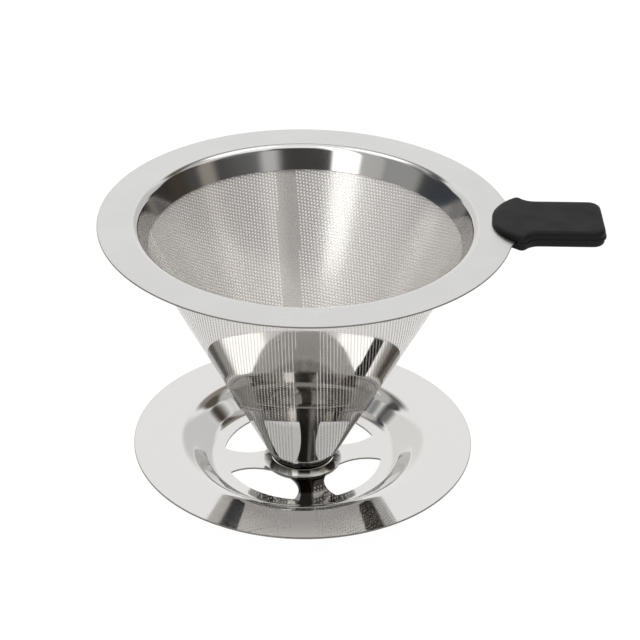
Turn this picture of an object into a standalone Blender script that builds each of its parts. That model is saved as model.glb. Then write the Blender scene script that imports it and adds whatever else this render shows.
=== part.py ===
"""Pour over coffee dripper: a double-walled metal cone filter on a stand that rests on a mug.

Units are metres. +Z is up and +X runs out along the handle. The origin is the centre of the
bounding box's base, so the cone's own axis stands at x = AXIS_X.
"""

import math

import bmesh
import bpy
from mathutils import Vector

MM = 0.001

# Levels, from the base of the stand's recess up.
RING_TOP = 8.45 * MM
RIM_TOP = RING_TOP + 78.5 * MM

# Filter cone: its outer face is CONE_RADIUS wide at the level of the stand's ring.
CONE_RADIUS = 13.05 * MM
CONE_HALF_ANGLE = math.radians(26.66)
CONE_TOP = RIM_TOP - 3.2 * MM
CONE_BOTTOM = RING_TOP - 7.9 * MM
OUTER_WALL = 0.3 * MM
MESH_WALL = 0.25 * MM
LAYER_GAP = 0.2 * MM
TIP_STEP = 0.8 * MM

# Rim flange with its drawn collar.
RIM_RADIUS = 62.5 * MM
RIM_SHEET = 0.5 * MM
COLLAR_LIP = RIM_TOP - 7.1 * MM
COLLAR_BEND = 2.5 * MM

# Handle tab, pressed out of the flange.
TAB_HALF_WIDTH = 8.4 * MM
TAB_END = 84.0 * MM
TAB_CORNER = 3.0 * MM
TAB_FLARE = 10.0 * MM
TAB_FACE_INSET = 0.02 * MM
TAB_ROOT = 57.0 * MM

# Silicone sleeve on the tab. X is measured from the cone's axis.
GRIP_END = 89.4 * MM
GRIP_HALF_WIDTH = 10.4 * MM
GRIP_CORNER = 3.8 * MM
GRIP_NOSE_X = 71.0 * MM
GRIP_NOSE_RADIUS = 15.0 * MM
GRIP_SHOULDER = 13.1 * MM
GRIP_SHOULDER_ROUND = 1.8 * MM
GRIP_WAIST_ROUND = 5.0 * MM
GRIP_ABOVE = 2.3 * MM
GRIP_BELOW = 2.9 * MM
GRIP_EDGE = 1.2 * MM
SLOT_GAP = 0.3 * MM
SLOT_MOUTH = 50.0 * MM

# Stand: flat ring, S-shaped step, sloping floor with four drain openings, upright neck.
STAND_RADIUS = 53.7 * MM
STAND_SHEET = 0.6 * MM
STAND_TURN = math.radians(10)
STEP_START = 40.5 * MM
STEP_ANGLE = math.radians(40)
STEP_UPPER_ROUND = 9.0 * MM
STEP_LOWER_ROUND = 5.0 * MM
STEP_DROP = 6.35 * MM
FLOOR_ANGLE = math.radians(5.5)
FLOOR_LOW = STAND_SHEET
NECK_RIM_RADIUS = 10.85 * MM
NECK_ROOT_RADIUS = 11.35 * MM
NECK_ROUND = 1.2 * MM
NECK_TOP = RING_TOP - 5.9 * MM

DRAIN_COUNT = 4
DRAIN_OUTER = 25.2 * MM
DRAIN_INNER = 12.25 * MM
DRAIN_OUTER_SPREAD = math.radians(29.5)
DRAIN_INNER_SPREAD = math.radians(17.5)
DRAIN_SIDE_BULGE = 1.9 * MM
DRAIN_OUTER_CORNER = 0.8 * MM
DRAIN_INNER_CORNER = 1.2 * MM

AXIS_X = (RIM_RADIUS - GRIP_END) / 2
TURN_STEPS = 72


def collection(name):
    made = bpy.data.collections.new(name)
    bpy.context.scene.collection.children.link(made)
    return made


def material(name, colour, metallic, roughness):
    made = bpy.data.materials.new(name)
    made.use_nodes = True
    shader = made.node_tree.nodes["Principled BSDF"]
    shader.inputs["Base Color"].default_value = (*colour, 1)
    shader.inputs["Metallic"].default_value = metallic
    shader.inputs["Roughness"].default_value = roughness
    return made


def arc(centre, radius, start, end, steps):
    """Points along a round stretch, from one angle to another, ends included."""
    points = []
    for i in range(steps + 1):
        angle = start + (end - start) * i / steps
        x = centre[0] + radius * math.cos(angle)
        y = centre[1] + radius * math.sin(angle)
        points.append(Vector((x, y)))
    return points


def across(thickness):
    """How much a layer of the cone's wall takes off its radius at one level."""
    return thickness / math.cos(CONE_HALF_ANGLE)


def cone_radius(level, depth=0.0):
    """Radius at a level, on the face that lies depth inside the outer cone's outer face."""
    outer = CONE_RADIUS + (level - RING_TOP) * math.tan(CONE_HALF_ANGLE)
    return outer - across(depth)


def add_object(name, mesh, group, root, finish=None):
    obj = bpy.data.objects.new(name, mesh)
    group.objects.link(obj)
    obj.parent = root
    if finish:
        mesh.materials.append(finish)
    return obj


def turned_shell(name, profile, thickness, group, root, finish):
    """A sheet turned about the cone's axis. Its profile is the sheet's upper or outer face."""
    mesh = bpy.data.meshes.new(name)
    edges = [(i, i + 1) for i in range(len(profile) - 1)]
    mesh.from_pydata([(p[0], 0, p[1]) for p in profile], edges, [])
    obj = add_object(name, mesh, group, root, finish)

    turn = obj.modifiers.new("turn", "SCREW")
    turn.steps = TURN_STEPS
    turn.render_steps = TURN_STEPS
    turn.use_merge_vertices = True
    turn.merge_threshold = 0.00001
    turn.use_smooth_shade = True

    sheet = obj.modifiers.new("sheet", "SOLIDIFY")
    sheet.thickness = thickness
    sheet.offset = -1
    sheet.use_even_offset = True
    return obj


def plate(name, outline, bottom, top, group, root, finish=None):
    """A flat outline with straight sides, as a mesh that can be cut or joined."""
    curve = bpy.data.curves.new(name, "CURVE")
    curve.dimensions = "2D"
    curve.fill_mode = "BOTH"
    curve.extrude = (top - bottom) / 2
    spline = curve.splines.new("POLY")
    spline.points.add(len(outline) - 1)
    for point, place in zip(spline.points, outline, strict=True):
        point.co = (place[0], place[1], 0, 1)
    spline.use_cyclic_u = True

    drawn = bpy.data.objects.new(name + "_outline", curve)
    group.objects.link(drawn)
    graph = bpy.context.evaluated_depsgraph_get()
    mesh = bpy.data.meshes.new_from_object(drawn.evaluated_get(graph))
    bpy.data.objects.remove(drawn)
    mesh.name = name
    mesh.materials.clear()

    body = bmesh.new()
    body.from_mesh(mesh)
    bmesh.ops.remove_doubles(body, verts=body.verts, dist=0.00001)
    bmesh.ops.dissolve_limit(body, angle_limit=math.radians(1), verts=body.verts, edges=body.edges)
    bmesh.ops.recalc_face_normals(body, faces=body.faces)
    body.to_mesh(mesh)
    body.free()

    obj = add_object(name, mesh, group, root, finish)
    obj.location.z = (top + bottom) / 2
    return obj


def boolean(obj, other, operation):
    step = obj.modifiers.new(operation.lower(), "BOOLEAN")
    step.operation = operation
    step.object = other
    step.solver = "EXACT"


def as_cutter(obj):
    obj.hide_render = True
    obj.display_type = "WIRE"


def mirrored(points):
    """The outline's other half, back along the negative side of the X axis."""
    return [Vector((p.x, -p.y)) for p in reversed(points)]


def tab_outline(gap, root_x):
    """The flange's tab with its flares into the round rim, grown all round by gap."""
    half = TAB_HALF_WIDTH + gap
    flare = TAB_FLARE - gap
    centre_y = half + flare
    centre_x = math.sqrt((RIM_RADIUS + gap + flare) ** 2 - centre_y**2)
    meets_rim = math.atan2(centre_y, centre_x) + math.pi
    corner = TAB_CORNER + gap
    corner_x = TAB_END + gap - corner

    side = [Vector((root_x, centre_y - flare * math.sin(meets_rim - math.pi) - 1 * MM))]
    side += arc((centre_x, centre_y), flare, meets_rim, math.radians(270), 6)
    side += arc((corner_x, half - corner), corner, math.radians(90), 0, 5)
    return side + mirrored(side)


def grip_outline():
    """Broad round nose, shoulders, waist and a square end with round corners."""
    shoulder_y = GRIP_SHOULDER - GRIP_SHOULDER_ROUND
    reach = GRIP_NOSE_RADIUS - GRIP_SHOULDER_ROUND
    shoulder_x = GRIP_NOSE_X - math.sqrt(reach**2 - shoulder_y**2)
    leaves_nose = math.atan2(shoulder_y, shoulder_x - GRIP_NOSE_X)

    waist_y = GRIP_HALF_WIDTH + GRIP_WAIST_ROUND
    rise = waist_y - shoulder_y
    span = GRIP_WAIST_ROUND + GRIP_SHOULDER_ROUND
    waist_x = shoulder_x + math.sqrt(span**2 - rise**2)
    leaves_shoulder = math.atan2(rise, waist_x - shoulder_x)

    corner_x = GRIP_END - GRIP_CORNER
    corner_y = GRIP_HALF_WIDTH - GRIP_CORNER
    quarter = math.radians(90)

    nose = arc((GRIP_NOSE_X, 0), GRIP_NOSE_RADIUS, math.pi, leaves_nose, 7)
    shoulder = arc((shoulder_x, shoulder_y), GRIP_SHOULDER_ROUND, leaves_nose, leaves_shoulder, 4)
    start = leaves_shoulder + math.pi
    waist = arc((waist_x, waist_y), GRIP_WAIST_ROUND, start, 3 * quarter, 4)
    corner = arc((corner_x, corner_y), GRIP_CORNER, quarter, 0, 5)
    half = nose + shoulder[1:] + waist[1:] + corner
    return half + mirrored(half[1:])


def drain_outline():
    """One drain opening, its middle on the X axis: two concentric arcs and two bulging sides."""
    outer = arc((0, 0), DRAIN_OUTER, -DRAIN_OUTER_SPREAD, DRAIN_OUTER_SPREAD, 8)
    inner = arc((0, 0), DRAIN_INNER, DRAIN_INNER_SPREAD, -DRAIN_INNER_SPREAD, 4)

    start = outer[-1]
    end = inner[0]
    chord = end - start
    radius = (chord.length**2 / 4 + DRAIN_SIDE_BULGE**2) / (2 * DRAIN_SIDE_BULGE)
    inward = Vector((chord.y, -chord.x)).normalized()
    if inward.y > 0:
        inward.negate()
    centre = (start + end) / 2 + inward * (radius - DRAIN_SIDE_BULGE)
    from_angle = math.atan2(start.y - centre.y, start.x - centre.x)
    to_angle = math.atan2(end.y - centre.y, end.x - centre.x)
    side = arc(centre, radius, from_angle, to_angle, 7)
    return outer + side[1:-1] + inner + mirrored(side[1:-1])


def rounded_corners(obj, places, width):
    """Rounds the upright edges of a plate that stand at the given places."""
    body = bmesh.new()
    body.from_mesh(obj.data)
    upright = []
    for edge in body.edges:
        a, b = (v.co for v in edge.verts)
        is_upright = (a.xy - b.xy).length < 0.01 * MM
        if is_upright and any((a.xy - place).length < 0.01 * MM for place in places):
            upright.append(edge)
    bmesh.ops.bevel(
        body, geom=upright, offset=width, segments=3, profile=0.5, affect="EDGES", clamp_overlap=True
    )
    body.to_mesh(obj.data)
    body.free()


def make_flange(group, cutters, root):
    steel = material("satin_steel", (0.62, 0.61, 0.6), 1.0, 0.32)
    depth = OUTER_WALL + LAYER_GAP + MESH_WALL + LAYER_GAP + RIM_SHEET
    lean = math.pi / 2 - CONE_HALF_ANGLE
    reach = COLLAR_BEND * math.tan(lean / 2)
    corner_radius = cone_radius(RIM_TOP, depth)
    centre = (corner_radius + reach, RIM_TOP - COLLAR_BEND)

    profile = [(cone_radius(COLLAR_LIP, depth), COLLAR_LIP)]
    profile += arc(centre, COLLAR_BEND, math.pi / 2 + lean, math.pi / 2, 5)
    profile.append((RIM_RADIUS, RIM_TOP))
    flange = turned_shell("rim_flange", profile, RIM_SHEET, group, root, steel)

    bottom = RIM_TOP - RIM_SHEET + TAB_FACE_INSET
    top = RIM_TOP - TAB_FACE_INSET
    tab = plate("tab_blank", tab_outline(0, TAB_ROOT), bottom, top, cutters, root)
    as_cutter(tab)
    boolean(flange, tab, "UNION")
    return flange


def make_grip(group, cutters, root):
    silicone = material("black_silicone", (0.02, 0.02, 0.022), 0.0, 0.55)
    bottom = RIM_TOP - GRIP_BELOW
    top = RIM_TOP + GRIP_ABOVE
    grip = plate("handle_grip", grip_outline(), bottom, top, group, root, silicone)

    edges = grip.modifiers.new("soft_edges", "BEVEL")
    edges.width = GRIP_EDGE
    edges.segments = 3
    edges.limit_method = "ANGLE"
    edges.angle_limit = math.radians(60)

    slot_bottom = RIM_TOP - RIM_SHEET - SLOT_GAP
    slot_top = RIM_TOP + SLOT_GAP
    outline = tab_outline(SLOT_GAP, SLOT_MOUTH)
    slot = plate("grip_slot", outline, slot_bottom, slot_top, cutters, root)
    as_cutter(slot)
    boolean(grip, slot, "DIFFERENCE")
    return grip


def make_cone_wall(name, depth, thickness, bottom, finish, group, root):
    profile = [
        (cone_radius(CONE_TOP, depth), CONE_TOP),
        (cone_radius(bottom, depth), bottom),
    ]
    return turned_shell(name, profile, thickness, group, root, finish)


def make_tip_plate(name, depth, bottom, thickness, finish, group, root):
    """A round plate that closes a cone's tip from inside, with a clear edge all round."""
    top = bottom + thickness
    body = bmesh.new()
    bmesh.ops.create_cone(
        body,
        cap_ends=True,
        segments=TURN_STEPS,
        radius1=cone_radius(bottom, depth),
        radius2=cone_radius(top, depth),
        depth=thickness,
    )
    mesh = bpy.data.meshes.new(name)
    body.to_mesh(mesh)
    body.free()
    obj = add_object(name, mesh, group, root, finish)
    obj.location.z = (bottom + top) / 2
    return obj


def make_filter(group, root):
    etched = material("etched_steel", (0.55, 0.54, 0.53), 1.0, 0.18)
    woven = material("woven_steel", (0.5, 0.49, 0.47), 1.0, 0.4)
    mesh_depth = OUTER_WALL + LAYER_GAP
    floor_level = CONE_BOTTOM + TIP_STEP
    edge_gap = LAYER_GAP + 0.1 * MM

    make_cone_wall("outer_cone", 0, OUTER_WALL, CONE_BOTTOM, etched, group, root)
    make_cone_wall("inner_mesh_cone", mesh_depth, MESH_WALL, floor_level, woven, group, root)
    make_tip_plate("tip_disc", OUTER_WALL + edge_gap, CONE_BOTTOM, 0.4 * MM, etched, group, root)
    depth = mesh_depth + MESH_WALL + edge_gap
    make_tip_plate("mesh_floor", depth, floor_level, MESH_WALL, woven, group, root)


def stand_profile():
    """From the neck's rim down its outer side, out along the floor and up over the step."""
    neck_centre = (NECK_ROOT_RADIUS + NECK_ROUND, FLOOR_LOW + NECK_ROUND)
    neck_lean = math.atan2(NECK_ROOT_RADIUS - NECK_RIM_RADIUS, NECK_TOP - neck_centre[1])
    right = math.pi / 2

    drop = STEP_UPPER_ROUND * (1 - math.cos(STEP_ANGLE))
    lower_drop = STEP_LOWER_ROUND * (math.cos(FLOOR_ANGLE) - math.cos(STEP_ANGLE))
    straight_drop = STEP_DROP - drop - lower_drop
    upper_centre = (STEP_START, RING_TOP - STEP_UPPER_ROUND)
    straight_run = straight_drop / math.tan(STEP_ANGLE)
    lower_x = STEP_START - (STEP_UPPER_ROUND + STEP_LOWER_ROUND) * math.sin(STEP_ANGLE)
    lower_z = RING_TOP - drop - straight_drop + STEP_LOWER_ROUND * math.cos(STEP_ANGLE)
    lower_centre = (lower_x - straight_run, lower_z)

    profile = [(NECK_RIM_RADIUS, NECK_TOP)]
    profile += arc(neck_centre, NECK_ROUND, 2 * right + neck_lean, 3 * right + FLOOR_ANGLE, 4)
    profile += arc(
        lower_centre, STEP_LOWER_ROUND, 3 * right + FLOOR_ANGLE, 3 * right + STEP_ANGLE, 3
    )
    profile += arc(upper_centre, STEP_UPPER_ROUND, right + STEP_ANGLE, right, 4)
    profile.append((STAND_RADIUS, RING_TOP))
    return profile


def make_stand(group, cutters, root):
    polished = material("polished_steel", (0.64, 0.63, 0.62), 1.0, 0.08)
    stand = turned_shell("stand", stand_profile(), STAND_SHEET, group, root, polished)
    stand.rotation_euler.z = STAND_TURN

    outline = drain_outline()
    outer_corners = [p for p in outline if abs(p.length - DRAIN_OUTER) < 0.001 * MM]
    inner_corners = [p for p in outline if abs(p.length - DRAIN_INNER) < 0.001 * MM]
    for i in range(DRAIN_COUNT):
        drain = plate(f"drain_{i + 1}", outline, -2 * MM, RING_TOP - 1 * MM, cutters, stand)
        rounded_corners(drain, (outer_corners[0], outer_corners[-1]), DRAIN_OUTER_CORNER)
        rounded_corners(drain, (inner_corners[0], inner_corners[-1]), DRAIN_INNER_CORNER)
        drain.rotation_euler.z = 2 * math.pi * (i + 0.5) / DRAIN_COUNT
        as_cutter(drain)
        boolean(stand, drain, "DIFFERENCE")
    return stand


def main():
    for old in list(bpy.data.objects):
        bpy.data.objects.remove(old)
    dripper = collection("pour_over_dripper")
    cutters = collection("cutters")
    root = bpy.data.objects.new("dripper_axis", None)
    root.location.x = AXIS_X
    dripper.objects.link(root)

    make_flange(dripper, cutters, root)
    make_grip(dripper, cutters, root)
    make_filter(dripper, root)
    make_stand(dripper, cutters, root)


main()
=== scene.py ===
"""Looks of the pour over dripper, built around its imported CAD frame. Metres, +Z up."""

import math

import bmesh
import bpy
import numpy as np
from mathutils import Matrix, Vector
from mathutils.geometry import delaunay_2d_cdt


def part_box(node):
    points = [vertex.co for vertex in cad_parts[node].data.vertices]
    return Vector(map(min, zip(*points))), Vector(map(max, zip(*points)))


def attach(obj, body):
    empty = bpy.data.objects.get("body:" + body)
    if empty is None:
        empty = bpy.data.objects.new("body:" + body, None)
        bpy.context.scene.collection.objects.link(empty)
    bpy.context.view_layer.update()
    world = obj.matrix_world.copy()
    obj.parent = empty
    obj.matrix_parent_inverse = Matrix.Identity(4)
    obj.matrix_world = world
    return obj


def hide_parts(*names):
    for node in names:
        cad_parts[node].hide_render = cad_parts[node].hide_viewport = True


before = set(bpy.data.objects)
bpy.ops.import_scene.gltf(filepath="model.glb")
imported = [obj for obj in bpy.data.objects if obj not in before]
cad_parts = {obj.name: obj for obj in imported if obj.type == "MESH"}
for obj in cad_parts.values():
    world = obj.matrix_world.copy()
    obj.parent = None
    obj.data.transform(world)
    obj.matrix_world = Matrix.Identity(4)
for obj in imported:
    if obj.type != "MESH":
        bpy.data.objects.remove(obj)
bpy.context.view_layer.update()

MM = 0.001
SCENE = bpy.context.scene

# Places read from the frame.
STAND_LOW, STAND_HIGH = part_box("stand")
FLANGE_LOW, FLANGE_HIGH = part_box("rim_flange")
GRIP_LOW, GRIP_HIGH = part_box("handle_grip")
CONE_LOW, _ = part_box("outer_cone")
MESH_LOW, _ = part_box("inner_mesh_cone")
AXIS_X = (STAND_LOW.x + STAND_HIGH.x) / 2
RING_TOP = STAND_HIGH.z
RIM_TOP = FLANGE_HIGH.z
STAND_RADIUS = (STAND_HIGH.x - STAND_LOW.x) / 2
RIM_RADIUS = (FLANGE_HIGH.y - FLANGE_LOW.y) / 2
TAB_END = FLANGE_HIGH.x - AXIS_X
GRIP_END = GRIP_HIGH.x - AXIS_X

# Filter cone, on its outer face.
CONE_RADIUS = 13.05 * MM
CONE_HALF_ANGLE = math.radians(26.66)
CONE_SLOPE = math.tan(CONE_HALF_ANGLE)
CONE_SINE = math.sin(CONE_HALF_ANGLE)
CONE_COSINE = math.cos(CONE_HALF_ANGLE)
CONE_TOP = RIM_TOP - 3.2 * MM
CONE_BOTTOM = CONE_LOW.z
OUTER_WALL = 0.3 * MM
MESH_WALL = 0.25 * MM
LAYER_GAP = 0.2 * MM

# Holes in the outer cone: staggered rows on the sheet before it is rolled.
HOLE_PITCH = 1.266 * MM
ROW_PITCH = 0.833 * MM
HOLE_RADIUS = 0.28 * MM
HOLE_SIDES = 8
SHEET_MIDDLE = math.radians(184.5)
STRIP_AWAY = math.radians(86.6)
STRIP_WIDTH = 6.4 * MM
PANEL_MARGIN = 3.0 * MM
SEAM_MARGIN = 1.6 * MM
TOP_MARGIN = 1.0 * MM
TIP_BAND = 3.4 * MM

# Rim flange with its drawn collar and handle tab.
RIM_SHEET = 0.5 * MM
COLLAR_LIP = FLANGE_LOW.z + 0.22 * MM
COLLAR_BEND = 2.5 * MM
TAB_HALF_WIDTH = 8.4 * MM
TAB_CORNER = 3.0 * MM
TAB_FLARE = 10.0 * MM
SHEET_EDGE = 0.12 * MM

# Silicone sleeve.
GRIP_HALF_WIDTH = 10.4 * MM
GRIP_CORNER = 3.8 * MM
GRIP_NOSE_X = 71.0 * MM
GRIP_NOSE_RADIUS = 15.0 * MM
GRIP_SHOULDER = 13.1 * MM
GRIP_SHOULDER_ROUND = 1.8 * MM
GRIP_WAIST_ROUND = 5.0 * MM
GRIP_UPPER_ROUND = 1.3 * MM
GRIP_LOWER_ROUND = 1.0 * MM
GRIP_UPPER_INSET = 0.05 * MM
GRIP_LOWER_INSET = 0.1 * MM
GRIP_LEDGE = 0.35 * MM
GRIP_NOSE_BASE = 0.9 * MM
GRIP_NOSE_DROP = 0.9 * MM
SLOT_GAP = 0.3 * MM
SLOT_MOUTH = 50.0 * MM

# Stand.
STAND_SHEET = 0.6 * MM
STAND_TURN = math.radians(10)
STEP_START = 40.5 * MM
STEP_ANGLE = math.radians(40)
STEP_UPPER_ROUND = 9.0 * MM
STEP_LOWER_ROUND = 5.0 * MM
STEP_DROP = 6.35 * MM
FLOOR_ANGLE = math.radians(5.5)
FLOOR_LOW = STAND_SHEET
NECK_RIM_RADIUS = 10.5 * MM
NECK_ROOT_RADIUS = 11.1 * MM
NECK_ROUND = 1.6 * MM
NECK_TOP = RING_TOP - 5.9 * MM
DRAIN_COUNT = 4
DRAIN_OUTER = 25.2 * MM
DRAIN_INNER = 12.25 * MM
DRAIN_OUTER_SPREAD = math.radians(29.5)
DRAIN_INNER_SPREAD = math.radians(17.5)
DRAIN_SIDE_BULGE = 1.9 * MM
DRAIN_OUTER_CORNER = 0.8 * MM
DRAIN_INNER_CORNER = 1.2 * MM

# How finely turned sheets and drain openings are divided.
AROUND = 360
MESH_AROUND = 240
DRAIN_STEPS = 24
DRAIN_INNER_STEPS = 14

HALF_WAY = math.sqrt(0.5)  # sine and cosine of 45 degrees
ON_FACE = 0.03 * MM  # how far off a sheet's face a point may lie and still count as on it


# ---- camera

CAMERA_LENS = 116.08
CAMERA_DISTANCE = 637.716 * MM
CAMERA_ELEVATION = math.radians(30.935)
CAMERA_ROLL = math.radians(1.008)
CAMERA_TURN = math.radians(-0.5)
CAMERA_SIDE = 4.848 * MM
CAMERA_ABOVE_RING = 43.462 * MM


def make_camera():
    """Looks along +Y and down, a little to the right of the cone's axis."""
    forward = Vector((0, math.cos(CAMERA_ELEVATION), -math.sin(CAMERA_ELEVATION)))
    level = Vector((1, 0, 0))
    upward = Vector((0, math.sin(CAMERA_ELEVATION), math.cos(CAMERA_ELEVATION)))
    right = level * math.cos(CAMERA_ROLL) + upward * math.sin(CAMERA_ROLL)
    up = upward * math.cos(CAMERA_ROLL) - level * math.sin(CAMERA_ROLL)
    place = Vector((CAMERA_SIDE, 0, CAMERA_ABOVE_RING)) - forward * CAMERA_DISTANCE

    turn = Matrix.Rotation(CAMERA_TURN, 3, "Z")
    axes = Matrix((turn @ right, turn @ up, turn @ -forward)).transposed()
    data = bpy.data.cameras.new("camera")
    data.lens = CAMERA_LENS
    data.sensor_width = 36
    data.clip_start = 0.01
    data.clip_end = 20
    camera = bpy.data.objects.new("camera", data)
    SCENE.collection.objects.link(camera)
    at = turn @ place + Vector((AXIS_X, 0, RING_TOP))
    camera.matrix_world = Matrix.Translation(at) @ axes.to_4x4()
    SCENE.camera = camera


# ---- shapes

def arc(centre, radius, start, end, steps):
    """Points along a round stretch, from one angle to another, ends included."""
    angles = [start + (end - start) * i / steps for i in range(steps + 1)]
    return [
        Vector((centre[0] + radius * math.cos(a), centre[1] + radius * math.sin(a)))
        for a in angles
    ]


def mirrored(points):
    """The outline's other half, back along the far side of the X axis."""
    return [Vector((p.x, -p.y)) for p in reversed(points)]


def add_piece(name, mesh, finishes, body, slot, *nodes):
    """Puts a mesh, made about the cone's axis, in its place as a piece of the object."""
    piece = bpy.data.objects.new(name, mesh)
    SCENE.collection.objects.link(piece)
    piece.location.x = AXIS_X
    for one in finishes:
        mesh.materials.append(one)
    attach(piece, body)
    if nodes:
        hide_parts(*nodes)


def cone_radius(level, depth=0.0):
    """Radius at a level, on the face that lies depth inside the outer cone's outer face."""
    return CONE_RADIUS + (level - RING_TOP) * CONE_SLOPE - depth / CONE_COSINE


def profile_normals(points):
    """Unit normals of a profile of (radius, level) points, to the left of its direction."""
    ahead = np.diff(np.asarray(points, float), axis=0)
    ahead /= np.linalg.norm(ahead, axis=1)[:, None]
    at_points = np.vstack([ahead[:1], (ahead[:-1] + ahead[1:]) / 2, ahead[-1:]])
    at_points /= np.linalg.norm(at_points, axis=1)[:, None]
    return np.stack([-at_points[:, 1], at_points[:, 0]], 1)


def dense(points, spacing):
    """A profile with extra points on its straight stretches."""
    made = [tuple(points[0])]
    for a, b in zip(points, points[1:]):
        length = math.hypot(b[0] - a[0], b[1] - a[1])
        parts = max(1, round(length / spacing))
        made += [
            (a[0] + (b[0] - a[0]) * i / parts, a[1] + (b[1] - a[1]) * i / parts)
            for i in range(1, parts + 1)
        ]
    return made


def clean(points):
    """Drops points that lie on the one before."""
    kept = [tuple(points[0])]
    for p in points[1:]:
        if math.hypot(p[0] - kept[-1][0], p[1] - kept[-1][1]) > 0.001 * MM:
            kept.append(tuple(p))
    return kept


def ring_faces(rings, count, closed):
    """Quads between rings of count points each; closed joins the last ring to the first."""
    faces = []
    for j in range(rings if closed else rings - 1):
        here = j * count
        beside = (j + 1) % rings * count
        for i in range(count):
            after = (i + 1) % count
            faces.append((here + i, beside + i, beside + after, here + after))
    return faces


def face_outward(mesh):
    """Turns all the faces of a closed mesh outward."""
    body = bmesh.new()
    body.from_mesh(mesh)
    bmesh.ops.recalc_face_normals(body, faces=body.faces)
    body.to_mesh(mesh)
    body.free()


def read(items, name, kind, width=1):
    """One attribute of all the items, as an array; width is the number of values in each."""
    values = np.zeros(len(items) * width, kind)
    items.foreach_get(name, values)
    return values if width == 1 else values.reshape(-1, width).astype(float)


def set_normals(mesh, normals):
    """Shades a mesh smoothly with a normal for each face corner."""
    mesh.polygons.foreach_set("use_smooth", np.ones(len(mesh.polygons), bool))
    mesh.normals_split_custom_set(normals.tolist())


def turned_mesh(name, section, steps):
    """A closed section of (radius, level) points, turned about the Z axis."""
    radii, levels = np.array(section).T
    angles = np.arange(steps) * 2 * math.pi / steps
    x = np.outer(np.cos(angles), radii)
    y = np.outer(np.sin(angles), radii)
    z = np.broadcast_to(levels, x.shape)
    verts = np.stack([x, y, z], -1).reshape(-1, 3)
    mesh = bpy.data.meshes.new(name)
    mesh.from_pydata(verts.tolist(), [], ring_faces(steps, len(section), True))
    face_outward(mesh)
    return mesh


def sheet_section(upper, thickness, edge):
    """The closed section of a sheet whose upper face is a profile, with its edges rounded over.

    Also gives both faces' own profiles, with their normals."""
    upper = np.asarray(clean(upper))
    normals = profile_normals(upper)
    lower = upper - normals * thickness
    start = (upper[1] - upper[0]) / np.linalg.norm(upper[1] - upper[0])
    end = (upper[-1] - upper[-2]) / np.linalg.norm(upper[-1] - upper[-2])
    softer = edge * (1 - HALF_WAY)

    def rounded(place, along, normal):
        across = place - normal * thickness
        return [
            place + along * softer - normal * softer,
            place - normal * edge,
            across + normal * edge,
            across + along * softer + normal * softer,
        ]

    def drawn_in(points):
        return [points[0] + start * edge, *points[1:-1], points[-1] - end * edge]

    section = drawn_in(upper) + rounded(upper[-1], -end, normals[-1])
    section += drawn_in(lower)[::-1] + rounded(upper[0], start, normals[0])[::-1]
    return [tuple(p) for p in section], [(upper, normals), (lower, -normals)]


def meridian_of(mesh):
    """The mesh's vertices, and each one's (distance from the Z axis, level)."""
    places = read(mesh.vertices, "co", np.float32, 3)
    return places, np.stack([np.hypot(places[:, 0], places[:, 1]), places[:, 2]], 1)


def nearest_normals(meridian, points, normals):
    """Each place's distance from a profile, and the profile's normal where it is nearest."""
    step = points[1:] - points[:-1]
    offset = meridian[:, None] - points[None, :-1]
    share = np.clip((offset * step).sum(2) / (step**2).sum(1), 0, 1)
    gap = np.linalg.norm(offset - share[..., None] * step, axis=2)
    nearest = gap.argmin(1)
    row = np.arange(len(meridian))
    t = share[row, nearest][:, None]
    turned = normals[:-1][nearest] * (1 - t) + normals[1:][nearest] * t
    turned /= np.linalg.norm(turned, axis=1)[:, None]
    return gap[row, nearest], turned


def set_turned_normals(mesh, faces):
    """Shades a turned sheet with its profile's own normals, so that it mirrors cleanly."""
    vertex = read(mesh.loops, "vertex_index", np.int32)
    sizes = read(mesh.polygons, "loop_total", np.int32)
    owner = np.repeat(np.arange(len(sizes)), sizes)
    flat = read(mesh.polygons, "normal", np.float32, 3)[owner]
    places, meridian = meridian_of(mesh)
    outward = places[:, :2] / np.maximum(meridian[:, :1], 1e-9)
    made = flat.copy()
    for points, normals in faces:
        gap, turned = nearest_normals(meridian, points, normals)
        full = np.column_stack([turned[:, :1] * outward, turned[:, 1]])[vertex]
        agrees = (full * flat).sum(1) > 0.5
        whole = np.ones(len(sizes), bool)
        np.logical_and.at(whole, owner, (gap < ON_FACE)[vertex] & agrees)
        chosen = whole[owner]
        made[chosen] = full[chosen]
    set_normals(mesh, made)


def mark_edges(mesh, faces, slot):
    """Gives a sheet's faces a slot of their own where they belong to neither of its sides."""
    meridian = meridian_of(mesh)[1]
    sides = [nearest_normals(meridian, *face)[0] < ON_FACE for face in faces]
    for polygon in mesh.polygons:
        corners = list(polygon.vertices)
        on_side = any(side[corners].all() for side in sides)
        polygon.material_index = 0 if on_side else slot


def plate(name, outline, bottom, top):
    """A closed plate with straight sides, about the cone's axis."""
    count = len(outline)
    verts = [(p.x, p.y, bottom) for p in outline] + [(p.x, p.y, top) for p in outline]
    faces = [list(range(count))[::-1], list(range(count, 2 * count))]
    faces += [(i, (i + 1) % count, count + (i + 1) % count, count + i) for i in range(count)]
    mesh = bpy.data.meshes.new(name)
    mesh.from_pydata(verts, [], faces)
    face_outward(mesh)
    return mesh


def cut(mesh, cutters):
    """The mesh with the cutter meshes taken out of it."""
    target = bpy.data.objects.new("target", mesh)
    SCENE.collection.objects.link(target)
    tools = []
    for tool_mesh in cutters:
        tool = bpy.data.objects.new("tool", tool_mesh)
        SCENE.collection.objects.link(tool)
        step = target.modifiers.new("cut", "BOOLEAN")
        step.operation = "DIFFERENCE"
        step.solver = "EXACT"
        step.object = tool
        tools.append(tool)
    graph = bpy.context.evaluated_depsgraph_get()
    made = bpy.data.meshes.new_from_object(target.evaluated_get(graph))
    for one in [target, *tools]:
        bpy.data.objects.remove(one)
    made.name = mesh.name
    return made


# ---- materials

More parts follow.
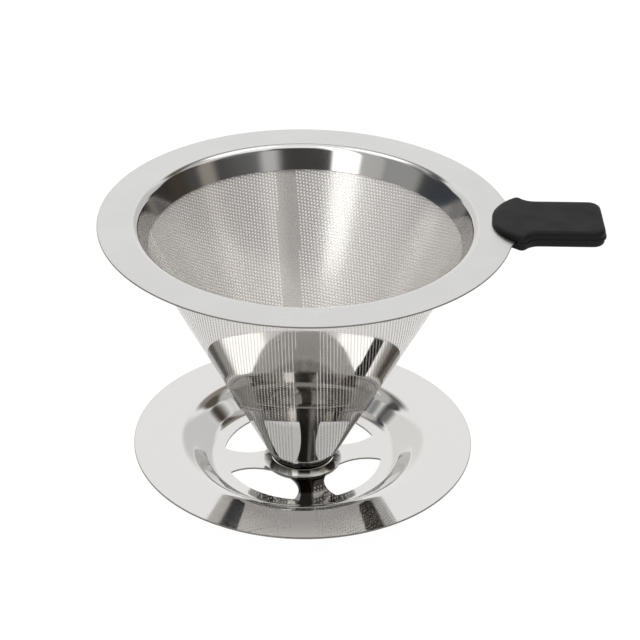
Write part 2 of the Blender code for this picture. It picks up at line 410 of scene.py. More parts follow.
WEAVE_ALPHA = 0.36
WEAVE_SCALE = 600.0


def new_material(name, colour, metallic, roughness):
    """A new material, its node tree and its shader."""
    made = bpy.data.materials.new(name)
    made.use_nodes = True
    shader = made.node_tree.nodes["Principled BSDF"]
    shader.inputs["Base Color"].default_value = (*colour, 1)
    shader.inputs["Metallic"].default_value = metallic
    shader.inputs["Roughness"].default_value = roughness
    return made, made.node_tree, shader


def add_node(tree, kind, **values):
    """A new shader node; each value goes to the input of that name, or to the property."""
    node = tree.nodes.new("ShaderNode" + kind)
    for key, value in values.items():
        if key in node.inputs:
            node.inputs[key].default_value = value
        else:
            setattr(node, key, value)
    return node


def noise(tree, scale, detail):
    """Noise in the piece's own space; scale is in waves per metre."""
    place = add_node(tree, "TexCoord")
    made = add_node(tree, "TexNoise", Scale=scale, Detail=detail)
    tree.links.new(place.outputs["Object"], made.inputs["Vector"])
    return made.outputs[0]


def ramp(tree, source, low, high, at_low, at_high):
    """Runs straight from at_low, where the source is low, to at_high, and stays there."""
    made = add_node(tree, "MapRange")
    made.inputs["From Min"].default_value = low
    made.inputs["From Max"].default_value = high
    made.inputs["To Min"].default_value = at_low
    made.inputs["To Max"].default_value = at_high
    tree.links.new(source, made.inputs["Value"])
    return made.outputs["Result"]


def uneven(tree, shader, scale, detail, low, high, smoothest, roughest):
    """Lets the roughness drift as noise does between low and high."""
    source = noise(tree, scale, detail)
    tree.links.new(ramp(tree, source, low, high, smoothest, roughest), shader.inputs["Roughness"])


def lay_over(tree, below, mask, shade):
    """The colour below, a socket or a triple, with shade over it where the mask is 1."""
    blend = add_node(tree, "Mix", data_type="RGBA")
    tree.links.new(mask, blend.inputs["Factor"])
    if isinstance(below, tuple):
        blend.inputs[6].default_value = (*below, 1)
    else:
        tree.links.new(below, blend.inputs[6])
    blend.inputs[7].default_value = (*shade, 1)
    return blend.outputs[2]


def bump(tree, shader, height, strength, distance):
    """Fine relief from a height."""
    node = add_node(tree, "Bump", Strength=strength, Distance=distance)
    tree.links.new(height, node.inputs["Height"])
    tree.links.new(node.outputs["Normal"], shader.inputs["Normal"])


def paint_shade(tree, shader, source, first, steps):
    """Painted shade: the base colour starts as the first one and turns to each step's own.

    A step is (where it starts, where it ends, colour)."""
    colour = first
    for start, end, shade in steps:
        colour = lay_over(tree, colour, ramp(tree, source, start, end, 0, 1), shade)
    tree.links.new(colour, shader.inputs["Base Color"])


def from_axis(tree):
    """Distance from the cone's axis."""
    place = add_node(tree, "TexCoord")
    level = add_node(tree, "VectorMath", operation="MULTIPLY")
    level.inputs[1].default_value = (1, 1, 0)
    tree.links.new(place.outputs["Object"], level.inputs[0])
    length = add_node(tree, "VectorMath", operation="LENGTH")
    tree.links.new(level.outputs["Vector"], length.inputs[0])
    return length.outputs["Value"]


def polished_steel():
    """The stand, with painted shade near where its neck is welded to the cone: a dark base colour
    for the shaded gap round the cone and the dark surroundings that the neck mirrors.
    """
    made, tree, shader = new_material("polished_steel", (0.66, 0.645, 0.625), 1.0, 0.05)
    uneven(tree, shader, 90.0, 3.0, 0.35, 0.75, 0.035, 0.085)
    # painted shade: dark at the neck's rim, turning to the steel's own colour between 10.8 and 12.6
    # mm from the axis
    steps = [(10.8 * MM, 12.6 * MM, (0.66, 0.65, 0.637))]
    paint_shade(tree, shader, from_axis(tree), (0.13, 0.12, 0.107), steps)
    return made


def drawn_steel():
    """The flange's drawn collar."""
    made, tree, shader = new_material("drawn_steel", (0.6, 0.595, 0.59), 1.0, 0.1)
    uneven(tree, shader, 70.0, 3.0, 0.35, 0.75, 0.09, 0.14)
    return made


def cut_and_shaded_edge_steel():
    """Sheared edges of the sheets: rougher than the faces, with a dark base colour that is painted
    shade, for the shaded ground and gaps that the edges face.
    """
    made, tree, shader = new_material("cut_and_shaded_edge_steel", (0.2, 0.185, 0.17), 1.0, 0.35)
    uneven(tree, shader, 400.0, 3.0, 0.35, 0.75, 0.3, 0.45)
    return made


def satin_steel():
    """The flange's flat."""
    made, tree, shader = new_material("satin_steel", (0.61, 0.607, 0.6), 1.0, 0.28)
    uneven(tree, shader, 60.0, 3.0, 0.3, 0.7, 0.24, 0.32)
    return made


def etched_steel():
    """The outer cone's outer side, darker toward its tip: painted shade for the shaded gap inside
    the stand's neck, and a painted reflection of the shaded ground that the lower cone mirrors.
    """
    made, tree, shader = new_material("etched_steel", (0.655, 0.637, 0.615), 1.0, 0.04)
    uneven(tree, shader, 120.0, 2.0, 0.3, 0.7, 0.02, 0.06)
    height = add_node(tree, "SeparateXYZ")
    tree.links.new(add_node(tree, "TexCoord").outputs["Object"], height.inputs[0])
    low = CONE_BOTTOM + TIP_BAND
    # painted shade: near black in the tip band, mid grey up the lower cone, the steel's own colour
    # from 22 to 28 mm above the tip band
    steps = [
        (low + 1.6 * MM, low + 2.2 * MM, (0.43, 0.42, 0.405)),
        (low + 22 * MM, low + 28 * MM, (0.655, 0.637, 0.615)),
    ]
    paint_shade(tree, shader, height.outputs["Z"], (0.07, 0.062, 0.055), steps)
    return made


def brushed_steel():
    """The etched sheet's inner side, which blurs what it mirrors along the cone's slope."""
    made, tree, shader = new_material("brushed_steel", (0.69, 0.67, 0.65), 0.92, 0.2)
    shader.inputs["Anisotropic"].default_value = 0.98
    shader.inputs["Anisotropic Rotation"].default_value = 0.25
    uneven(tree, shader, 300.0, 3.0, 0.3, 0.7, 0.18, 0.21)
    return made


def wires(tree, place, turn):
    """Even bands across the X axis, turned about the Y axis by so many degrees."""
    lay = add_node(tree, "Mapping")
    lay.inputs["Rotation"].default_value = (0, math.radians(turn), 0)
    tree.links.new(place, lay.inputs["Vector"])
    made = add_node(tree, "TexWave", Scale=WEAVE_SCALE, Distortion=0.4)
    tree.links.new(lay.outputs["Vector"], made.inputs["Vector"])
    return made.outputs["Fac"]


def woven_steel():
    """The fine lining: wires at 45 degrees to the cone's own line, seen as a faint cross weave."""
    made, tree, shader = new_material("woven_steel", (0.95, 0.925, 0.9), 0.42, 0.25)
    shader.inputs["Alpha"].default_value = WEAVE_ALPHA
    place = add_node(tree, "TexCoord").outputs["Object"]
    most = add_node(tree, "Math", operation="MAXIMUM")
    tree.links.new(wires(tree, place, 45), most.inputs[0])
    tree.links.new(wires(tree, place, -45), most.inputs[1])
    height = most.outputs[0]
    tree.links.new(ramp(tree, height, 0.2, 0.9, 0.2, 0.25), shader.inputs["Roughness"])
    colour = lay_over(tree, (0.93, 0.905, 0.88), height, (0.96, 0.935, 0.91))
    tree.links.new(colour, shader.inputs["Base Color"])
    return made


def black_silicone():
    """Matt black rubber with a fine grain."""
    made, tree, shader = new_material("black_silicone", (0.006, 0.006, 0.0065), 0.0, 0.5)
    shader.inputs["Specular IOR Level"].default_value = 0.16
    bump(tree, shader, noise(tree, 2500.0, 2.0), 0.15, 0.05 * MM)
    uneven(tree, shader, 150.0, 3.0, 0.3, 0.7, 0.46, 0.58)
    return made


# ---- rim flange

def flange_outline(inset):
    """The flange's outer edge with its tab, moved inward by inset, and how many points it has."""
    half = TAB_HALF_WIDTH - inset
    flare = TAB_FLARE + inset
    centre_y = half + flare
    centre_x = math.sqrt((RIM_RADIUS - inset + flare) ** 2 - centre_y**2)
    meets_rim = math.atan2(centre_y, centre_x)
    corner = TAB_CORNER - inset
    corner_x = TAB_END - inset - corner
    quarter = math.pi / 2

    rim = arc((0, 0), RIM_RADIUS - inset, math.pi, meets_rim, 170)
    side = arc((centre_x, centre_y), flare, meets_rim + math.pi, 3 * quarter, 14)[1:]
    end = arc((corner_x, half - corner), corner, quarter, 0, 8)
    upper = rim + side + end
    return upper + mirrored(upper)[:-1]


def flange_profile():
    """The flange's upper face, from the collar's lip up and out to where the flat begins."""
    depth = OUTER_WALL + LAYER_GAP + MESH_WALL + LAYER_GAP + RIM_SHEET
    lean = math.pi / 2 - CONE_HALF_ANGLE
    reach = COLLAR_BEND * math.tan(lean / 2)
    centre = (cone_radius(RIM_TOP, depth) + reach, RIM_TOP - COLLAR_BEND)
    lip = (cone_radius(COLLAR_LIP, depth), COLLAR_LIP)
    bend = arc(centre, COLLAR_BEND, math.pi / 2 + lean, math.pi / 2, 14)
    return dense([lip, bend[0]], 0.5 * MM)[:-1] + [tuple(p) for p in bend]


def turned_ring(place, normal, angles):
    """Points about the Z axis through one (radius, level) place, and their normals."""
    return tuple(
        [(p[0] * math.cos(a), p[0] * math.sin(a), p[1]) for a in angles] for p in (place, normal)
    )


def outline_ring(inset, level, outward, upward):
    """Points along the flange's outline, and their normals."""
    points = flange_outline(inset)
    outside = flange_outline(inset - 0.05 * MM)
    away = [(w - p).normalized() * outward for p, w in zip(points, outside)]
    return [(p.x, p.y, level) for p in points], [(a.x, a.y, upward) for a in away]


def flange_rings(profile, normals):
    """Rings of points, each with its normals, that run once round the flange's section."""
    soft = SHEET_EDGE
    softer = soft * (1 - HALF_WAY)
    under = RIM_TOP - RIM_SHEET
    along = np.array([CONE_SINE, CONE_COSINE])
    angles = [math.atan2(p.y, p.x) for p in flange_outline(0)]
    lip = np.array(profile[0])
    upper = np.array(profile)
    upper[0] += along * soft
    lower = upper - normals * RIM_SHEET

    rings = [turned_ring(p, n, angles) for p, n in zip(upper, normals)]
    rings.append(outline_ring(soft, RIM_TOP, 0, 1))
    rings.append(outline_ring(softer, RIM_TOP - softer, HALF_WAY, HALF_WAY))
    rings.append(outline_ring(0, RIM_TOP - soft, 1, 0))
    rings.append(outline_ring(0, under + soft, 1, 0))
    rings.append(outline_ring(softer, under + softer, HALF_WAY, -HALF_WAY))
    rings.append(outline_ring(soft, under, 0, -1))
    rings += [turned_ring(p, -n, angles) for p, n in zip(lower[::-1], normals[::-1])]
    rings.append(turned_ring(lip - normals[0] * (RIM_SHEET - soft), -along, angles))
    rings.append(turned_ring(lip - normals[0] * soft, -along, angles))
    return rings


def turn_outward(mesh):
    """Flips a closed mesh whose faces look inward."""
    body = bmesh.new()
    body.from_mesh(mesh)
    inward = body.calc_volume(signed=True) < 0
    body.free()
    if inward:
        mesh.flip_normals()


def make_flange(steels):
    """One sheet: a collar, a flat with a tab, and a rounded edge."""
    profile = clean(flange_profile())
    normals = profile_normals(profile)
    normals[0] = (-CONE_COSINE, CONE_SINE)
    normals[-1] = (0, 1)
    rings = flange_rings(profile, normals)
    verts = [p for points, _ in rings for p in points]
    shading = np.array([n for _, ring_normals in rings for n in ring_normals])
    shading /= np.linalg.norm(shading, axis=1)[:, None]
    count = len(rings[0][0])
    mesh = bpy.data.meshes.new("rim_flange")
    mesh.from_pydata(verts, [], ring_faces(len(rings), count, True))

    collar, flat, edge = 0, 1, 2
    bands = np.full(len(rings), flat)
    bands[: len(profile) - 1] = collar
    # the rounded outer edge takes the edge finish, with its painted shade
    bands[len(profile) : len(profile) + 4] = edge
    add_piece("rim_flange_sheet", mesh, steels, "dripper", "rim_flange", "rim_flange")
    mesh.polygons.foreach_set("material_index", np.repeat(bands, count).astype(np.int32))
    turn_outward(mesh)
    set_normals(mesh, shading[read(mesh.loops, "vertex_index", np.int32)])


# ---- handle sleeve

def grip_outline(inset):
    """Broad round nose, shoulders, waist and a square end with round corners, moved inward."""
    shoulder_y = GRIP_SHOULDER - GRIP_SHOULDER_ROUND
    reach = GRIP_NOSE_RADIUS - GRIP_SHOULDER_ROUND
    shoulder_x = GRIP_NOSE_X - math.sqrt(reach**2 - shoulder_y**2)
    leaves_nose = math.atan2(shoulder_y, shoulder_x - GRIP_NOSE_X)

    waist_y = GRIP_HALF_WIDTH + GRIP_WAIST_ROUND
    rise = waist_y - shoulder_y
    span = GRIP_WAIST_ROUND + GRIP_SHOULDER_ROUND
    waist_x = shoulder_x + math.sqrt(span**2 - rise**2)
    leaves = math.atan2(rise, waist_x - shoulder_x)
    corner_x = GRIP_END - GRIP_CORNER
    corner_y = GRIP_HALF_WIDTH - GRIP_CORNER
    quarter = math.pi / 2

    nose = arc((GRIP_NOSE_X, 0), GRIP_NOSE_RADIUS - inset, math.pi, leaves_nose, 26)
    shoulder = arc((shoulder_x, shoulder_y), GRIP_SHOULDER_ROUND - inset, leaves_nose, leaves, 9)
    waist = arc((waist_x, waist_y), GRIP_WAIST_ROUND + inset, leaves + math.pi, 3 * quarter, 9)
    shares = [i / 6 for i in range(1, 6)]
    side_y = GRIP_HALF_WIDTH - inset
    side = [Vector((waist_x + (corner_x - waist_x) * s, side_y)) for s in shares]
    corner = arc((corner_x, corner_y), GRIP_CORNER - inset, quarter, 0, 9)
    half = nose + shoulder[1:] + waist[1:] + side + corner
    return half + mirrored(half[1:])


def grip_section():
    """(inset, level) points from the sleeve's top, over its parting ledge, to its bottom."""
    turns = [math.radians(15 * i) for i in range(7)]
    soft = GRIP_UPPER_ROUND
    section = [(soft * (1 - math.sin(a)), GRIP_HIGH.z - soft * (1 - math.cos(a))) for a in turns]
    parting = (GRIP_HIGH.z + GRIP_LOW.z) / 2 - 0.2 * MM
    section.append((GRIP_UPPER_INSET, parting + 0.35 * MM))
    section.append((-GRIP_LEDGE, parting + 0.15 * MM))
    section.append((-GRIP_LEDGE, parting - 0.25 * MM))
    section.append((GRIP_LOWER_INSET, parting - 0.4 * MM))
    soft = GRIP_LOWER_ROUND
    section += [
        (GRIP_LOWER_INSET + soft * (1 - math.cos(a)), GRIP_LOW.z + soft * (1 - math.sin(a)))
        for a in turns
    ]
    return section


def grip_mesh():
    """The solid sleeve: a ring of points for each place of the section, and two flat ends."""
    section = grip_section()
    rings = [grip_outline(inset) for inset, _ in section]
    count = len(rings[0])
    verts = [(p.x, p.y, level) for ring, (_, level) in zip(rings, section) for p in ring]
    faces = ring_faces(len(rings), count, False)
    for number in (0, len(rings) - 1):
        points, triangles = filled(rings[number], 1.5 * MM)
        places = list(range(number * count, (number + 1) * count))
        places += list(range(len(verts), len(verts) + len(points) - count))
        verts += [(p.x, p.y, section[number][1]) for p in points[count:]]
        faces += [tuple(places[k] for k in triangle) for triangle in triangles]
    mesh = bpy.data.meshes.new("handle_sleeve")
    mesh.from_pydata(verts, [], faces)
    face_outward(mesh)
    return mesh


def thin_nose(mesh):
    """Lowers the sleeve's top more and more towards the tip of its nose."""
    base = RIM_TOP + SLOT_GAP + GRIP_NOSE_BASE
    for vert in mesh.vertices:
        share_out = (GRIP_NOSE_X - 2 * MM - vert.co.x) / (GRIP_NOSE_RADIUS - 2 * MM)
        if share_out > 0 and vert.co.z > base:
            share_up = (vert.co.z - base) / (GRIP_HIGH.z - base)
            vert.co.z -= share_up * GRIP_NOSE_DROP * min(1, share_out) ** 2


def make_grip(silicone):
    """Soft-edged sleeve with a parting ledge halfway up, a nose that thins and a slot."""
    mesh = grip_mesh()
    thin_nose(mesh)
    slot_low = RIM_TOP - RIM_SHEET - SLOT_GAP
    tool = plate("slot", slot_outline(SLOT_GAP), slot_low, RIM_TOP + SLOT_GAP)
    made = cut(mesh, [tool])
    made.polygons.foreach_set("use_smooth", np.ones(len(made.polygons), bool))
    made.set_sharp_from_angle(angle=math.radians(45))
    add_piece("handle_sleeve", made, [silicone], "grip", "handle_grip", "handle_grip")


def filled(outline, spacing):
    """Triangles that fill an outline, with points inside it on a grid. Outline points come first."""
    low = Vector((min(p.x for p in outline), min(p.y for p in outline)))
    high = Vector((max(p.x for p in outline), max(p.y for p in outline)))
    count = len(outline)
    inner = []
    columns = int((high.x - low.x) / spacing)
    rows = int((high.y - low.y) / spacing)
    for i in range(1, columns):
        for j in range(1, rows):
            place = Vector((low.x + i * spacing, low.y + j * spacing))
            if min((place - p).length for p in outline) < spacing * 0.7:
                continue
            if within(place, outline):
                inner.append(place)
    points = list(outline) + inner
    made = delaunay_2d_cdt(points, [], [list(range(count))], 1, 1e-9)
    assert len(made[0]) == len(points)
    return points, [tuple(f) for f in made[2]]


def within(place, outline):
    """Whether a place lies inside an outline."""
    inside = False
    for a, b in zip(outline, outline[1:] + outline[:1]):
        if (a.y > place.y) != (b.y > place.y):
            across = a.x + (place.y - a.y) * (b.x - a.x) / (b.y - a.y)
            if across > place.x:
                inside = not inside
    return inside


def slot_outline(gap):
    """The tab's outline grown by gap, running out past the sleeve's nose."""
    half = TAB_HALF_WIDTH + gap
    flare = TAB_FLARE - gap
    centre_y = half + flare
    centre_x = math.sqrt((RIM_RADIUS + gap + flare) ** 2 - centre_y**2)
    meets_rim = math.atan2(centre_y, centre_x)
    corner = TAB_CORNER + gap
    corner_x = TAB_END + gap - corner
    quarter = math.pi / 2
    side = [Vector((SLOT_MOUTH, centre_y - flare * math.sin(meets_rim) - 1 * MM))]
    side += arc((centre_x, centre_y), flare, meets_rim + math.pi, 3 * quarter, 10)
    side += arc((corner_x, half - corner), corner, quarter, 0, 8)
    return side + mirrored(side)


# ---- filter cones

def rolled(flat, depth=0.0):
    """Rolls points of the flat sheet, whose tip is at its origin, into the cone."""
    slant = np.hypot(flat[:, 0], flat[:, 1])
    azimuth = SHEET_MIDDLE + np.arctan2(flat[:, 0], flat[:, 1]) / CONE_SINE
    radius = slant * CONE_SINE
    level = RING_TOP + (radius - CONE_RADIUS) / CONE_SLOPE
    radius = radius - depth * CONE_COSINE
    level = level + depth * CONE_SINE
    return np.stack([radius * np.cos(azimuth), radius * np.sin(azimuth), level], 1)


def slant_at(level):
    """Distance from the cone's tip to a level, along its outer face."""
    return cone_radius(level) / CONE_SINE


def holed_cell(corners, first):
    """Faces between a cell's four corners and its hole, whose points begin at first."""
    step = HOLE_SIDES // 4
    faces = []
    for q in range(4):
        a = first + step * q
        b = first + (step * q + 1) % HOLE_SIDES
        c = first + step * (q + 1) % HOLE_SIDES
        faces.append((corners[q], b, a))
        faces.append((corners[q], corners[(q + 1) % 4], c, b))
    return faces


def lattice(inside, has_hole, reach):
    """Flat points and faces of a sheet of staggered holes, and each face's cell centre."""
    right = np.array([HOLE_PITCH / 2, ROW_PITCH])
    left = np.array([-HOLE_PITCH / 2, ROW_PITCH])
    span = int(reach / ROW_PITCH) + 2
    points = []
    known = {}
    faces = []
    centres = []

    def corner(i, j):
        if (i, j) not in known:
            known[i, j] = len(points)
            points.append(tuple(i * right + j * left))
        return known[i, j]

    angles = [2 * math.pi * k / HOLE_SIDES for k in range(HOLE_SIDES)]
    circle = [(-HOLE_RADIUS * math.sin(a), HOLE_RADIUS * math.cos(a)) for a in angles]
    for i in range(-span, span):
        for j in range(-span, span):
            x, y = (i + 0.5) * right + (j + 0.5) * left
            if not inside(x, y):
                continue
            cell = [[corner(i + 1, j + 1), corner(i, j + 1), corner(i, j), corner(i + 1, j)]]
            if has_hole(x, y):
                cell = holed_cell(cell[0], len(points))
                points.extend((x + a, y + b) for a, b in circle)
            faces += cell
            centres += [(x, y)] * len(cell)
    return points, faces, centres


def open_edges(faces):
    """The directed edges that only one face has."""
    edges = {}
    for face in faces:
        for a, b in zip(face, face[1:] + face[:1]):
            if (b, a) in edges:
                del edges[b, a]
            else:
                edges[a, b] = True
    return list(edges)


def thick_sheet(name, flat, faces, thickness):
    """A rolled sheet with holes, as a closed mesh: outer face, inner face, walls between."""
    used = sorted({v for f in faces for v in f})
    index = {v: k for k, v in enumerate(used)}
    count = len(used)
    faces = [[index[v] for v in f] for f in faces]
    outer = rolled(flat[used], 0)
    inner = rolled(flat[used], thickness)
    walls = [(b, a, a + count, b + count) for a, b in open_edges(faces)]
    all_faces = faces + [[v + count for v in reversed(f)] for f in faces] + walls
    mesh = bpy.data.meshes.new(name)
    mesh.from_pydata(np.vstack([outer, inner]).tolist(), [], all_faces)

    away = outer - inner
    away /= np.linalg.norm(away, axis=1)[:, None]
    shading = np.vstack([away, -away])
    vertex = read(mesh.loops, "vertex_index", np.int32)
    owner = np.repeat(np.arange(len(all_faces)), [len(f) for f in all_faces])
    normals = read(mesh.polygons, "normal", np.float32, 3)[owner]
    on_sheet = owner < 2 * len(faces)
    normals[on_sheet] = shading[vertex[on_sheet]]
    set_normals(mesh, normals)
    slots = np.zeros(len(all_faces), np.int32)
    slots[len(faces) : 2 * len(faces)] = 1
    return mesh, slots


def cut_flat(points, faces, directions):
    """Cuts the flat sheet along lines through its origin, and drops what lies past them."""
    mesh = bpy.data.meshes.new("flat")
    mesh.from_pydata([(x, y, 0) for x, y in points], [], faces)
    body = bmesh.new()
    body.from_mesh(mesh)
    for outward in directions:
        parts = body.verts[:] + body.edges[:] + body.faces[:]
        bmesh.ops.bisect_plane(
            body, geom=parts, dist=1e-8, plane_co=(0, 0, 0), plane_no=outward, clear_outer=True
        )
    body.verts.index_update()
    points = [(v.co.x, v.co.y) for v in body.verts]
    faces = [[v.index for v in f.verts] for f in body.faces]
    body.free()
    bpy.data.meshes.remove(mesh)
    return np.array(points), faces


def etched_sheet(near, far, spread, strip):
    """The whole flat sheet, a cell wider all round than the arcs and edges that bound it."""
    first_hole = near + TIP_BAND / CONE_COSINE
    last_hole = far - TOP_MARGIN

    def inside(x, y):
        slant = math.hypot(x, y)
        angle = abs(math.atan2(x, y))
        in_height = near - HOLE_PITCH < slant < far + HOLE_PITCH
        return in_height and angle < spread + HOLE_PITCH / slant

    def has_hole(x, y):
        slant = math.hypot(x, y)
        angle = abs(math.atan2(x, y))
        from_strip = abs(slant * math.sin(angle - strip))
        from_seam = slant * math.sin(min(spread - angle, math.pi / 2))
        clear = from_strip > STRIP_WIDTH / 2 and from_seam > SEAM_MARGIN
        return first_hole < slant < last_hole and clear

    return lattice(inside, has_hole, far + HOLE_PITCH)


def panel_faces(faces, centres, low, high):
    """The faces between two angles, and some past them where the sheet goes on."""
    kept = []
    for face, (x, y) in zip(faces, centres):
        angle = math.atan2(x, y)
        slack = PANEL_MARGIN / math.hypot(x, y)
        past_middle = (low == 0 and angle < 0) or (high == 0 and angle >= 0)
        if not past_middle and low - slack < angle < high + slack:
            kept.append(face)
    return kept


def make_outer_cone(steels):
    """Four etched panels of one rolled sheet, which part along its plain strips."""
    near = slant_at(CONE_BOTTOM)
    far = slant_at(CONE_TOP)
    spread = math.pi * CONE_SINE
    strip = STRIP_AWAY * CONE_SINE
    points, faces, centres = etched_sheet(near, far, spread, strip)
    panels = [
        ("seam_front", strip, spread),
        ("front_left", 0, strip),
        ("left_back", -strip, 0),
        ("back_seam", -spread, -strip),
    ]
    for panel, low, high in panels:
        sides = [(angle, sign) for angle, sign in ((low, -1), (high, 1)) if angle != 0]
        directions = [(sign * math.cos(a), -sign * math.sin(a), 0) for a, sign in sides]
        part, kept = cut_flat(points, panel_faces(faces, centres, low, high), directions)
        flat, kept = round_ends(part, kept, near, far)
        mesh, slots = thick_sheet("cone_" + panel, flat, kept, OUTER_WALL)
        nodes = ["outer_cone"] if panel == "seam_front" else []
        add_piece("outer_cone_" + panel, mesh, steels, "dripper", "outer_cone", *nodes)
        mesh.polygons.foreach_set("material_index", slots)


def round_ends(flat, faces, near, far):
    """Pulls the sheet's cells at its tip and at its rim onto the two end arcs."""
    slant = np.hypot(flat[:, 0], flat[:, 1])
    kept = [face for face in faces if any(near < slant[v] < far for v in face)]
    return flat / slant[:, None] * np.clip(slant, near, far)[:, None], kept


def make_inner_cone(mesh_steel):
    """The woven lining, a thin cone just inside the etched one."""
    depth = OUTER_WALL + LAYER_GAP
    bottom = MESH_LOW.z
    upper = [(cone_radius(CONE_TOP, depth), CONE_TOP), (cone_radius(bottom, depth), bottom)]
    section, faces = sheet_section(dense(upper, 2 * MM), MESH_WALL, 0.05 * MM)
    mesh = turned_mesh("inner_mesh", section, MESH_AROUND)
    set_turned_normals(mesh, faces)
    node = "inner_mesh_cone"
    add_piece("inner_mesh_lining", mesh, [mesh_steel], "dripper", node, node)


# ---- stand

def stand_profile():
    """From the neck's rim down its outer side, out along the floor and up over the step."""
    neck_centre = (NECK_ROOT_RADIUS + NECK_ROUND, FLOOR_LOW + NECK_ROUND)
    neck_lean = math.atan2(NECK_ROOT_RADIUS - NECK_RIM_RADIUS, NECK_TOP - neck_centre[1])
    right = math.pi / 2
    drop = STEP_UPPER_ROUND * (1 - math.cos(STEP_ANGLE))
    lower_drop = STEP_LOWER_ROUND * (math.cos(FLOOR_ANGLE) - math.cos(STEP_ANGLE))
    straight_drop = STEP_DROP - drop - lower_drop
    upper_centre = (STEP_START, RING_TOP - STEP_UPPER_ROUND)
    straight_run = straight_drop / math.tan(STEP_ANGLE)
    lower_x = STEP_START - (STEP_UPPER_ROUND + STEP_LOWER_ROUND) * math.sin(STEP_ANGLE)
    lower_z = RING_TOP - drop - straight_drop + STEP_LOWER_ROUND * math.cos(STEP_ANGLE)
    lower_centre = (lower_x - straight_run, lower_z)

    neck = arc(neck_centre, NECK_ROUND, 2 * right + neck_lean, 3 * right + FLOOR_ANGLE, 16)
    lower = arc(lower_centre, STEP_LOWER_ROUND, 3 * right + FLOOR_ANGLE, 3 * right + STEP_ANGLE, 12)
    upper = arc(upper_centre, STEP_UPPER_ROUND, right + STEP_ANGLE, right, 20)
    profile = [(NECK_RIM_RADIUS, NECK_TOP)]
    profile += [tuple(p) for p in neck]
    profile += dense([neck[-1], lower[0]], 1.0 * MM)[1:]
    profile += [tuple(p) for p in lower[1:]]
    profile += dense([lower[-1], upper[0]], 1.0 * MM)[1:]
    profile += [tuple(p) for p in upper[1:]]
    profile += dense([upper[-1], (STAND_RADIUS, RING_TOP)], 3.0 * MM)[1:]
    return clean(profile)


def corner_round(points, index, radius, steps=5):
    """Replaces an outline's corner by a round one."""
    here = points[index]
    back = (points[index - 1] - here).normalized()
    ahead = (points[(index + 1) % len(points)] - here).normalized()
    half = math.acos(max(-1, min(1, back.dot(ahead)))) / 2
    reach = radius / math.tan(half)
    start = here + back * reach
    end = here + ahead * reach
    centre = here + (back + ahead).normalized() * (radius / math.sin(half))
    a = math.atan2(start.y - centre.y, start.x - centre.x)
    b = math.atan2(end.y - centre.y, end.x - centre.x)
    while b - a > math.pi:
        b -= 2 * math.pi
    while b - a < -math.pi:
        b += 2 * math.pi
    return arc(centre, radius, a, b, steps), reach


def drain_outline(turn):
    """One drain opening with its middle at angle turn: two concentric arcs, two bulging sides."""
    outer = arc((0, 0), DRAIN_OUTER, -DRAIN_OUTER_SPREAD, DRAIN_OUTER_SPREAD, DRAIN_STEPS)
    inner = arc((0, 0), DRAIN_INNER, DRAIN_INNER_SPREAD, -DRAIN_INNER_SPREAD, DRAIN_INNER_STEPS)
    start = outer[-1]
    end = inner[0]
    chord = end - start
    radius = (chord.length**2 / 4 + DRAIN_SIDE_BULGE**2) / (2 * DRAIN_SIDE_BULGE)
    inward = Vector((chord.y, -chord.x)).normalized()
    if inward.y > 0:
        inward.negate()
    centre = (start + end) / 2 + inward * (radius - DRAIN_SIDE_BULGE)
    from_angle = math.atan2(start.y - centre.y, start.x - centre.x)
    to_angle = math.atan2(end.y - centre.y, end.x - centre.x)
    side = arc(centre, radius, from_angle, to_angle, DRAIN_STEPS)[1:-1]
    loop = outer + side + inner + mirrored(side)
    rounds = {
        0: DRAIN_OUTER_CORNER,
        DRAIN_STEPS: DRAIN_OUTER_CORNER,
        2 * DRAIN_STEPS: DRAIN_INNER_CORNER,
        2 * DRAIN_STEPS + DRAIN_INNER_STEPS: DRAIN_INNER_CORNER,
    }
    rounds = {k: corner_round(loop, k, size) for k, size in rounds.items()}
    made = []
    for k, p in enumerate(loop):
        if k in rounds:
            made += rounds[k][0]
        elif all((p - loop[c]).length >= 1.02 * reach for c, (_, reach) in rounds.items()):
            made.append(p)
    spin = Matrix.Rotation(turn, 2)
    return [spin @ p for p in made]


def make_stand(steels):
    """One turned sheet with four drain openings; its edges have a finish of their own."""
    section, faces = sheet_section(stand_profile(), STAND_SHEET, SHEET_EDGE)
    mesh = turned_mesh("stand", section, AROUND)
    tools = []
    for i in range(DRAIN_COUNT):
        turn = STAND_TURN + 2 * math.pi * (i + 0.5) / DRAIN_COUNT
        tools.append(plate(f"drain_{i}", drain_outline(turn), -2 * MM, RING_TOP - 1 * MM))
    made = cut(mesh, tools)
    set_turned_normals(made, faces)
    add_piece("stand_dish", made, steels, "dripper", "stand", "stand")
    # Edges take the second finish, with its painted shade; the neck's rim edges take the first,
    # whose painted shade near the neck darkens them.
    mark_edges(made, faces, 1)
    for polygon in made.polygons:
        if polygon.center.xy.length < NECK_ROOT_RADIUS:
            polygon.material_index = 0


# ---- studio

DIFFUSE_FILL = 1.9
ROOM_WHITE = (1.13, 1.13, 1.13)

